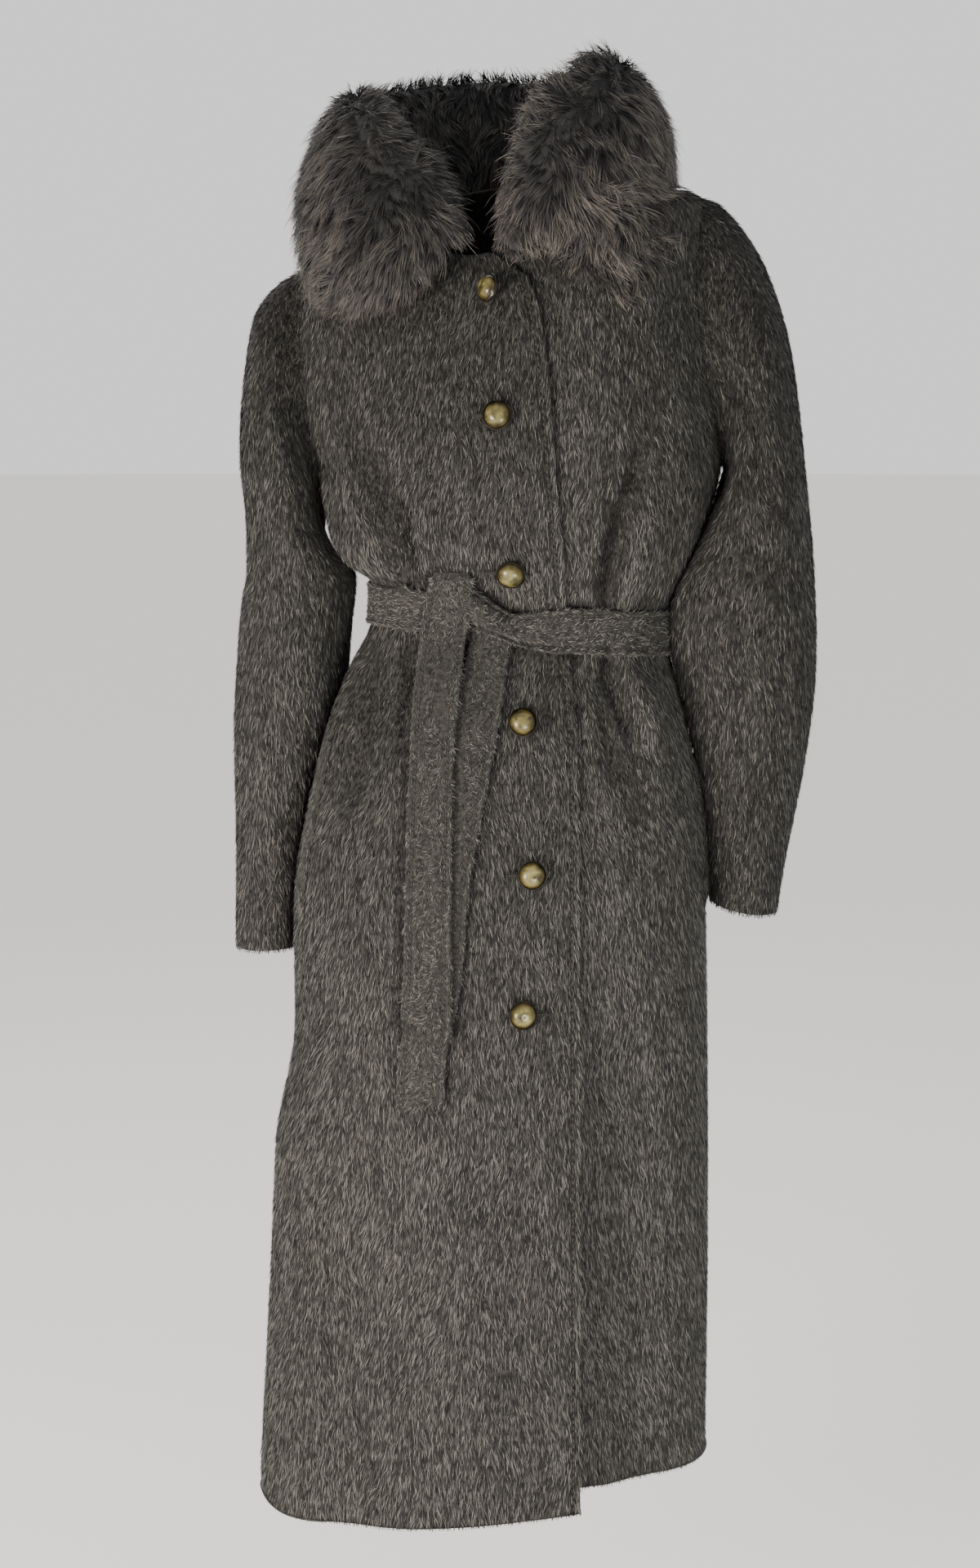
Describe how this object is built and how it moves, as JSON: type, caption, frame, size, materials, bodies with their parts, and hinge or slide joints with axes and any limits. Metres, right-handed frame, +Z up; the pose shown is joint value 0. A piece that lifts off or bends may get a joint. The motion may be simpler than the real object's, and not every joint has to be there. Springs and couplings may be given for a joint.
{
  "type": "long belted fur-collared coat",
  "caption": "Long belted coat in grey-brown pile cloth with a large fur collar, domed shell-look buttons and a tie belt, in its worn form.",
  "frame": {"origin": "middle of the neckline, at the height where the collar seam crosses the shoulder seams, inside the worn coat", "axes": "+Z up along the wearer's body; -Y is the coat's front; the wearer's right side is at -X"},
  "size_m": [0.5251, 0.348, 1.2726],
  "materials": {
    "alpaca_pile": "matte",
    "collar_fur": "matte",
    "button_shell": "gloss"
  },
  "bodies": {
    "root": {"back_upper": "alpaca_pile", "back_lower": "alpaca_pile", "front_left_upper": "alpaca_pile", "front_left_lower": "alpaca_pile", "front_right_upper": "alpaca_pile", "front_right_lower": "alpaca_pile", "sleeve_left_upper": "alpaca_pile", "sleeve_left_under": "alpaca_pile", "sleeve_right_upper": "alpaca_pile", "sleeve_right_under": "alpaca_pile", "belt_right": "alpaca_pile", "belt_left": "alpaca_pile", "belt_back": "alpaca_pile", "belt_knot": "alpaca_pile", "belt_tail_upper": "alpaca_pile", "belt_tail_under": "alpaca_pile", "welt_right": "alpaca_pile", "welt_left": "alpaca_pile", "collar_left": "collar_fur", "collar_right": "collar_fur", "button_1": "button_shell", "button_2": "button_shell", "button_3": "button_shell", "button_4": "button_shell", "button_5": "button_shell", "button_6": "button_shell"}
  },
  "joints": []
}
